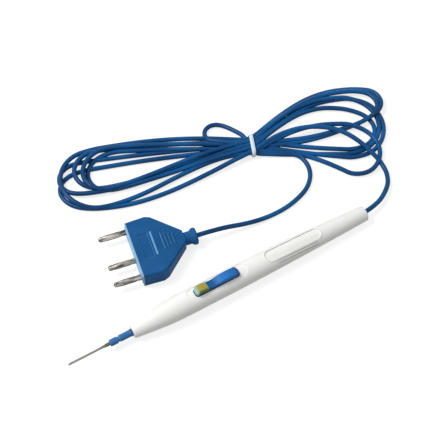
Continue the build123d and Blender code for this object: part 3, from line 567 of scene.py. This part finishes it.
soft, group_in, group_out = new_group(
    "soft_edges",
    [("Width", "NodeSocketFloat", 0.4 * MM)],
    [("Edge", "NodeSocketFloat"), ("Normal", "NodeSocketVector")],
)
rounded = soft.nodes.new("ShaderNodeBevel")
rounded.samples = EDGE_SAMPLES
link(soft, group_in, "Width", rounded, "Radius")
facing = soft.nodes.new("ShaderNodeNewGeometry")
agreement = operation(soft, "ShaderNodeVectorMath", "DOT_PRODUCT")
link(soft, rounded, "Normal", agreement, 0)
link(soft, facing, "Normal", agreement, 1)
edge_mask = value_range(soft, EDGE_START, EDGE_FULL)
link(soft, agreement, "Value", edge_mask, "Value")
link(soft, edge_mask, "Result", group_out, "Edge")
link(soft, rounded, "Normal", group_out, "Normal")
lay_out(soft)
print("group", soft.name, "nodes", len(soft.nodes))

# %% [markdown]
# Some tones belong to a place on a piece, such as the painted highlight on the rocker's front lip
# or the dark end of the electrode's rod. They could be separate pieces, but nothing parts them on
# the real pencil.
# This group makes a mask from a direction and two distances along it, in the object's own
# coordinates, so that the tone stays with the piece in every pose.

# %% Node group: place mask
place_mask, group_in, group_out = new_group(
    "place_mask",
    [
        ("Direction", "NodeSocketVector", (1.0, 0.0, 0.0)),
        ("Start", "NodeSocketFloat", 0.0),
        ("Full", "NodeSocketFloat", 1.0 * MM),
    ],
    [("Mask", "NodeSocketFloat")],
)
coordinates = place_mask.nodes.new("ShaderNodeTexCoord")
distance = operation(place_mask, "ShaderNodeVectorMath", "DOT_PRODUCT")
link(place_mask, coordinates, "Object", distance, 0)
link(place_mask, group_in, "Direction", distance, 1)
ramp = place_mask.nodes.new("ShaderNodeMapRange")
ramp.interpolation_type = "SMOOTHSTEP"
link(place_mask, distance, "Value", ramp, "Value")
link(place_mask, group_in, "Start", ramp, "From Min")
link(place_mask, group_in, "Full", ramp, "From Max")
link(place_mask, ramp, "Result", group_out, "Mask")
lay_out(place_mask)
print("group", place_mask.name, "nodes", len(place_mask.nodes))

# %% [markdown]
# Every finish is one material with one Principled shader. The surface group feeds its colour,
# roughness and bump; numbers that are the same all over the surface, such as metallic or the coat,
# are set on the shader's own sockets. Twenty materials could be written out one by one, but one
# function for all of them, and a short one for each of the two kinds, keeps them alike.

# %% How a finish is made
COAT_ROUGHNESS = 0.12
RELIEF_HEIGHT = 0.02 * MM
PLASTIC_BUMP, PLASTIC_SPREAD = 0.25, 0.08
METAL_BUMP = 0.3


def placed(tree, group, values):
    """A group placed in a tree with its own values."""
    node = tree.nodes.new("ShaderNodeGroup")
    node.node_tree = group
    for key, value in values.items():
        node.inputs[key].default_value = value
    return node


def new_finish(name, group, values, bump, coat=0.0, specular=0.5, metallic=0.0):
    """A material whose colour, roughness and bump come from one of the groups."""
    material = bpy.data.materials.new(name)
    material.use_nodes = True
    tree = material.node_tree
    shader = tree.nodes["Principled BSDF"]
    shader.inputs["Metallic"].default_value = metallic
    shader.inputs["Specular IOR Level"].default_value = specular
    shader.inputs["Coat Weight"].default_value = coat
    shader.inputs["Coat Roughness"].default_value = COAT_ROUGHNESS
    surface = placed(tree, group, values)
    relief = tree.nodes.new("ShaderNodeBump")
    relief.name = "relief"
    relief.inputs["Strength"].default_value = bump
    relief.inputs["Distance"].default_value = RELIEF_HEIGHT
    link(tree, surface, "Colour", shader, "Base Color")
    link(tree, surface, "Roughness", shader, "Roughness")
    link(tree, surface, "Height", relief, "Height")
    link(tree, relief, "Normal", shader, "Normal")
    return material


def plastic(name, colour, patch_colour, roughness, specular=0.25, coat=0.0, patch_scale=60.0):
    """A moulded plastic or rubber."""
    values = {
        "Colour": (*colour, 1),
        "Patch Colour": (*patch_colour, 1),
        "Patch Scale": patch_scale,
        "Roughness": roughness,
        "Roughness Spread": PLASTIC_SPREAD,
    }
    return new_finish(name, moulded, values, PLASTIC_BUMP, coat=coat, specular=specular)


def metal(name, colour, line_colour, roughness, turn=0.0, stretch=(60.0, 3000.0, 3000.0)):
    """A drawn, turned or pressed metal, its lines turned to run along the piece."""
    values = {
        "Colour": (*colour, 1),
        "Line Colour": (*line_colour, 1),
        "Turn": turn,
        "Stretch": stretch,
        "Roughness": roughness,
    }
    return new_finish(name, drawn, values, METAL_BUMP, metallic=1.0)


print("bump of plastic and metal", PLASTIC_BUMP, METAL_BUMP)

# %% [markdown]
# The pencil is white plastic with three blues on it: a deep one for the rocker, the plug and the
# cord, a lighter one for the hub and a pale one for the pins' carrier. The cord's jacket is soft
# and glossy, with wide patches, and the electrode is plain steel. Each finish is one row of a
# table, so that the tones can be compared with each other.

# %% The pencil's finishes
PLUG_TURN = math.radians(-169.7)
PIN_STRETCH = (130.0, 700.0, 700.0)
# Colour, colour of the patches, roughness, and where they aren't the usual ones the specular
# level, the coat and the scale of the patches.
PLASTICS = {
    "handle_white": ((0.93, 0.93, 0.91), (0.9, 0.9, 0.87), 0.4, 0.35),
    "rocker_blue": ((0.012, 0.11, 0.34), (0.01, 0.095, 0.29), 0.36, 0.12),
    "insert_yellow": ((0.36, 0.38, 0.06), (0.3, 0.36, 0.07), 0.42, 0.25, 0.0, 260.0),
    "hub_blue": ((0.035, 0.17, 0.42), (0.03, 0.14, 0.36), 0.32, 0.2),
    "seal_grey": ((0.3, 0.32, 0.34), (0.26, 0.28, 0.3), 0.6),
    "strip_green": ((0.01, 0.12, 0.05), (0.015, 0.15, 0.07), 0.35, 0.25, 0.3),
    "wire_white": ((0.75, 0.75, 0.73), (0.7, 0.7, 0.68), 0.4),
    "wire_yellow": ((0.7, 0.48, 0.03), (0.64, 0.42, 0.03), 0.4),
    "wire_blue": ((0.03, 0.1, 0.4), (0.03, 0.09, 0.34), 0.4),
    "bush_pale": ((0.62, 0.7, 0.78), (0.56, 0.64, 0.72), 0.45),
    "plug_blue": ((0.014, 0.105, 0.29), (0.01, 0.088, 0.25), 0.45, 0.06),
    "carrier_blue": ((0.34, 0.56, 0.78), (0.3, 0.52, 0.74), 0.4),
    # On the cord the two colours lie far apart, so the wide patches are partly painted highlight
    # and shade.
    "cord_jacket": ((0.004, 0.104, 0.31), (0.001, 0.046, 0.15), 0.26, 0.16, 0.0, 26.0),
    "ribbon_white": ((0.78, 0.86, 0.92), (0.72, 0.82, 0.9), 0.45),
}
# Colour, colour of the lines, roughness, and on the plug the turn and the stretch of the lines.
METALS = {
    "blade_steel": ((0.3, 0.3, 0.29), (0.12, 0.12, 0.11), 0.3),
    "pin_metal": ((0.5, 0.48, 0.45), (0.05, 0.05, 0.04), 0.22, PLUG_TURN, PIN_STRETCH),
    "leaf_metal": ((0.52, 0.5, 0.46), (0.04, 0.04, 0.03), 0.24, PLUG_TURN, PIN_STRETCH),
    "spring_steel": ((0.5, 0.5, 0.5), (0.35, 0.35, 0.35), 0.25),
    "contact_brass": ((0.72, 0.52, 0.22), (0.5, 0.34, 0.12), 0.25),
    "clamp_steel": ((0.5, 0.5, 0.5), (0.36, 0.36, 0.36), 0.32),
}
finishes = {name: plastic(name, *look) for name, look in PLASTICS.items()}
finishes.update({name: metal(name, *look) for name, look in METALS.items()})
print("finishes", len(finishes))

# %% [markdown]
# Over those base finishes lie the tones of single places and edges. A piece could be cut up and
# each part given its own material, but then the tones would meet in hard lines. Instead each tone
# is a mask from a group and a colour, mixed in before the shader, and the soft normal of an edge
# goes under the bump of the grain.

# %% How a tone is laid over a finish
FORE, REAR, LEFT, RIGHT = (-1, 0, 0), (1, 0, 0), (0, -1, 0), (0, 1, 0)
UP, DOWN = (0, 0, 1), (0, 0, -1)


def lay_over(finish, masks, colour, amount):
    """Mixes a colour over a finish where every one of the masks says so."""
    tree = finishes[finish].node_tree
    shader = tree.nodes["Principled BSDF"]
    before = shader.inputs["Base Color"].links[0].from_socket
    share = operation(tree, "ShaderNodeMath", "MULTIPLY")
    share.inputs[1].default_value = amount
    tree.links.new(masks[0], share.inputs[0])
    for mask in masks[1:]:
        both = operation(tree, "ShaderNodeMath", "MULTIPLY")
        link(tree, share, "Value", both, 0)
        tree.links.new(mask, both.inputs[1])
        share = both
    mix = colour_mix(tree)
    link(tree, share, "Value", mix, "Factor")
    tree.links.new(before, mix.inputs[MIX_FIRST])
    mix.inputs[MIX_SECOND].default_value = (*colour, 1)
    link(tree, mix, MIX_RESULT, shader, "Base Color")


def soften(finish, width, colour, amount):
    """Rounds a finish's edges in the shading, and mixes a colour over them."""
    tree = finishes[finish].node_tree
    node = placed(tree, soft, {"Width": width * MM})
    lay_over(finish, [node.outputs["Edge"]], colour, amount)
    link(tree, node, "Normal", tree.nodes["relief"], "Normal")


def tone(finish, limits, colour, amount):
    """Mixes a colour over the place that all the limits leave.

    A limit is a direction and the two distances along it where the tone starts and is full.
    """
    tree = finishes[finish].node_tree
    masks = []
    for direction, start, full in limits:
        values = {"Direction": direction, "Start": start * MM, "Full": full * MM}
        masks.append(placed(tree, place_mask, values).outputs["Mask"])
    lay_over(finish, masks, colour, amount)


print("towards the electrode", FORE, "and the tail", REAR)

# %% [markdown]
# The rocker has a painted highlight on its rear half, painted shade on its rear end, a painted
# highlight on its front lip and painted shade on its foot. The yellow insert has an orange spot,
# painted shade on its near side and a painted highlight on its front. A painted shadow darkens the
# hub towards the handle, the rod darkens towards the hub, and two faint lines run along the near
# side of the finger rest. A painted image could hold all this, but a few limits for each place are
# enough. They are in millimetres in the pencil's own frame, since a CAD piece's object is at the
# origin.

# %% Tones of the pencil
PAD_SPOT = [(REAR, -17.4, -15.4), (FORE, 12.0, 14.2), (RIGHT, -2.0, -0.4), (LEFT, -2.8, -0.8)]
REST_SPAN = [(REAR, 37.0, 40.0), (FORE, -70.0, -67.0)]
REST_LINES = (4.8, 6.0)

# Painted light on the rocker: highlight on its rear half and front lip, shade on its rear end and
# foot.
tone("rocker_blue", [(REAR, -7.0, -2.0)], (0.025, 0.19, 0.56), 0.9)
tone("rocker_blue", [(REAR, 8.9, 10.2)], (0.014, 0.06, 0.22), 0.8)
tone("rocker_blue", [(FORE, 18.4, 18.9)], (0.44, 0.64, 0.68), 0.85)
tone("rocker_blue", [(DOWN, -15.3, -14.6)], (0.006, 0.035, 0.1), 0.85)
soften("rocker_blue", 0.35, (0.02, 0.1, 0.3), 0.4)
tone("insert_yellow", PAD_SPOT, (0.52, 0.28, 0.03), 0.8)
# Painted shade on the insert's near side, and a painted highlight on its front.
tone("insert_yellow", [(LEFT, 1.0, 2.2)], (0.08, 0.15, 0.03), 0.9)
tone("insert_yellow", [(FORE, 17.5, 18.3)], (0.5, 0.62, 0.36), 0.8)
# A painted shadow on the hub towards the handle, and a painted highlight on its edges.
tone("hub_blue", [(REAR, -67.4, -66.2)], (0.012, 0.05, 0.17), 0.7)
soften("hub_blue", 0.4, (0.2, 0.44, 0.7), 0.9)
tone("blade_steel", [(REAR, -87.0, -83.0)], (0.09, 0.09, 0.07), 0.8)
for side in REST_LINES:
    line = [(LEFT, side, side + 0.15), (RIGHT, -side - 0.65, -side - 0.5), (UP, 8.0, 9.0)]
    tone("handle_white", REST_SPAN + line, (0.5, 0.5, 0.46), 0.75)
print("nodes in the rocker's finish", len(finishes["rocker_blue"].node_tree.nodes))

# %% [markdown]
# The plug is deep blue, with a painted highlight on its face round the pins, on its edges and on
# the tops of its grip ribs. The plug lies askew on the table, so its face is found along the
# plug's own axis and not along the table's.

# %% Tones of the plug
PLUG_AXIS = (math.cos(PLUG_TURN), -math.sin(PLUG_TURN), 0.0)
PLUG_FRONT = 46.7

# Painted highlights on the plug's face, on its edges and on the tops of its bar and ribs.
tone("plug_blue", [(PLUG_AXIS, PLUG_FRONT - 0.6, PLUG_FRONT - 0.4)], (0.34, 0.56, 0.78), 0.9)
soften("plug_blue", 0.4, (0.13, 0.4, 0.68), 0.6)
tone("plug_blue", [(UP, 14.15, 14.4)], (0.16, 0.42, 0.7), 0.8)
for finish in finishes.values():
    lay_out(finish.node_tree)
print("nodes in the plug's finish", len(finishes["plug_blue"].node_tree.nodes))

# %% [markdown]
# Now every piece gets its finish in place of the plain one that a CAD piece comes with. It could
# be done piece by piece. A table and one loop do it for all, and the table shows which piece is
# made of what, the hidden ones inside the handle too.

# %% Dress every piece
FINISH_OF_NODE = {
    "lower_shell": "handle_white",
    "upper_shell": "handle_white",
    "electrode_blade": "blade_steel",
    "electrode_hub": "hub_blue",
    "nose_seal": "seal_grey",
    "contact_tube": "contact_brass",
    "contact_spring": "spring_steel",
    "rocker_switch": "rocker_blue",
    "cut_insert": "insert_yellow",
    "circuit_strip": "strip_green",
    "cut_dome": "spring_steel",
    "coag_dome": "spring_steel",
    "dome_cover": "seal_grey",
    "active_wire": "wire_white",
    "cut_wire": "wire_yellow",
    "coag_wire": "wire_blue",
    "cord_clamp": "clamp_steel",
    "cord_bush": "bush_pale",
    "plug_body": "plug_blue",
    "pin_carrier": "carrier_blue",
    "active_pin": "pin_metal",
    "cut_pin": "pin_metal",
    "coag_pin": "pin_metal",
    "active_pin_spring": "leaf_metal",
    "cut_pin_spring": "leaf_metal",
    "coag_pin_spring": "leaf_metal",
}


def dress(piece, finish):
    """Gives a piece one finish in place of whatever it had."""
    piece.data.materials.clear()
    piece.data.materials.append(finishes[finish])


for node_name, finish_name in FINISH_OF_NODE.items():
    dress(nodes[node_name], finish_name)
dress(cord, "cord_jacket")
dress(tie_band, "ribbon_white")
print("dressed", len(FINISH_OF_NODE) + 2)

# %% [markdown]
# The table is one large pale plane. More light would bleach the object with it, so the table's own
# colour stays grey and it glows where the camera sees it, straight or in a reflection. The ground
# then comes out white, while the shadows under the object stay, only fainter.

# %% Floor
# Half the table's side, in metres.
FLOOR_HALF = 6.0
FLOOR_DROP = 0.05 * MM
FLOOR_GREY = 0.37
FLOOR_GLOW = 0.76
FLOOR_ROUGHNESS = 0.9


def seen_rays(tree):
    """A node that is one for what the camera sees, straight or in a reflection, and else zero."""
    paths = tree.nodes.new("ShaderNodeLightPath")
    seen = operation(tree, "ShaderNodeMath", "MAXIMUM")
    link(tree, paths, "Is Camera Ray", seen, 0)
    link(tree, paths, "Is Glossy Ray", seen, 1)
    return seen


floor_mesh = bmesh.new()
bmesh.ops.create_grid(floor_mesh, x_segments=1, y_segments=1, size=FLOOR_HALF)
bmesh.ops.translate(floor_mesh, vec=(0, 0, -FLOOR_DROP), verts=floor_mesh.verts)
table_top = object_from("table_top", floor_mesh)

floor_finish = bpy.data.materials.new("table_white")
floor_finish.use_nodes = True
tree = floor_finish.node_tree
shader = tree.nodes["Principled BSDF"]
shader.inputs["Base Color"].default_value = (FLOOR_GREY, FLOOR_GREY, FLOOR_GREY, 1)
shader.inputs["Roughness"].default_value = FLOOR_ROUGHNESS
shader.inputs["Specular IOR Level"].default_value = 0.0
shader.inputs["Emission Strength"].default_value = 1.0
glow = colour_mix(tree)
glow.inputs[MIX_FIRST].default_value = (0, 0, 0, 1)
glow.inputs[MIX_SECOND].default_value = (FLOOR_GLOW, FLOOR_GLOW, FLOOR_GLOW, 1)
link(tree, seen_rays(tree), "Value", glow, "Factor")
link(tree, glow, MIX_RESULT, shader, "Emission Color")
lay_out(tree)
table_top.data.materials.append(floor_finish)
print("floor at", -FLOOR_DROP)

# %% [markdown]
# The light comes from a soft sky and one broad lamp behind and to the left, which leaves the near
# side of the handle in soft shade. A single strong lamp would make hard shadows, and a sky alone
# would make none. The sky is white where the camera sees it and dimmer where it lights the object.

# %% Sky and lamp
SKY_STRENGTH = 0.45
# The lamp's place from the camera's target and its size in metres, and its power in watts.
LAMP_PLACE = Vector((-0.42, 0.36, 0.78))
LAMP_SIZE = 0.45
LAMP_POWER = 6.4

world = bpy.data.worlds.new("studio_sky")
bpy.context.scene.world = world
world.use_nodes = True
tree = world.node_tree
sky = tree.nodes["Background"]
sky.inputs["Color"].default_value = (1, 1, 1, 1)
strength = tree.nodes.new("ShaderNodeMapRange")
strength.inputs["To Min"].default_value = SKY_STRENGTH
strength.inputs["To Max"].default_value = 1.0
link(tree, seen_rays(tree), "Value", strength, "Value")
link(tree, strength, "Result", sky, "Strength")

lamp_data = bpy.data.lights.new("broad_lamp", "AREA")
lamp_data.shape = "SQUARE"
lamp_data.size = LAMP_SIZE
lamp_data.energy = LAMP_POWER
lamp = bpy.data.objects.new("broad_lamp", lamp_data)
lamp.location = VIEW_TARGET + LAMP_PLACE
lamp.rotation_euler = LAMP_PLACE.to_track_quat("Z", "Y").to_euler()
bpy.context.scene.collection.objects.link(lamp)
bpy.context.scene.view_settings.view_transform = "Standard"
print("lamp", round(LAMP_PLACE.length, 3), "m away")
